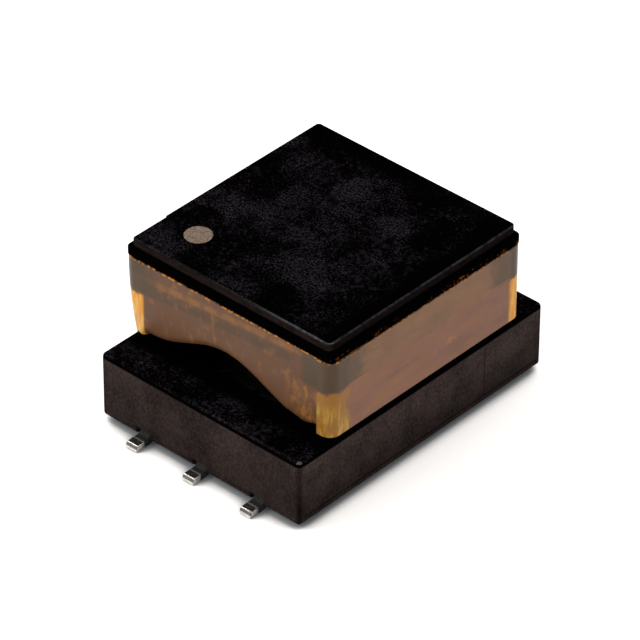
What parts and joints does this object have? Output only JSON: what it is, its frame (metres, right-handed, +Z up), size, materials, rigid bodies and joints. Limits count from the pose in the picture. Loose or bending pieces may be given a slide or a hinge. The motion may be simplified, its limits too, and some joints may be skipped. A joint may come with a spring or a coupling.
{
  "type": "surface-mount pcb transformer",
  "caption": "Small surface-mount transformer: black moulded base with flat leads at two ends, an amber tape wrap round a ferrite core and a flat black pick-up cap.",
  "frame": {"origin": "middle of the underside of the feet, on the board plane", "axes": "+Z up from the board, +Y along the length from the end of leads 1 to 3 to the end of leads 4 to 6, +X across the width"},
  "size_m": [0.0092, 0.013, 0.0066],
  "materials": {
    "moulding": "fine speckled matt black moulding",
    "leads": "bright tin plate",
    "ferrite": "dark grey ground ferrite",
    "former": "black moulding",
    "copper": "enamelled copper wire",
    "coil_tape": "thin amber film",
    "solder": "bright solder",
    "adhesive": "cured adhesive",
    "mark": "pale laser mark",
    "amber_tape": "glossy translucent amber film"
  },
  "bodies": {
    "root": {"base_housing": "moulding", "terminal_1": "leads", "terminal_2": "leads", "terminal_3": "leads", "terminal_4": "leads", "terminal_5": "leads", "terminal_6": "leads", "core_lower": "ferrite", "core_upper": "ferrite", "coil_former": "former", "primary_winding": "copper", "interlayer_tape": "coil_tape", "secondary_winding": "copper", "coil_cover_tape": "coil_tape", "solder_joint_1": "solder", "solder_joint_2": "solder", "solder_joint_3": "solder", "solder_joint_4": "solder", "solder_joint_5": "solder", "solder_joint_6": "solder", "cap_adhesive": "adhesive", "top_cap": "moulding", "pin_one_mark": "mark", "tape_wrap": "amber_tape"}
  },
  "joints": []
}
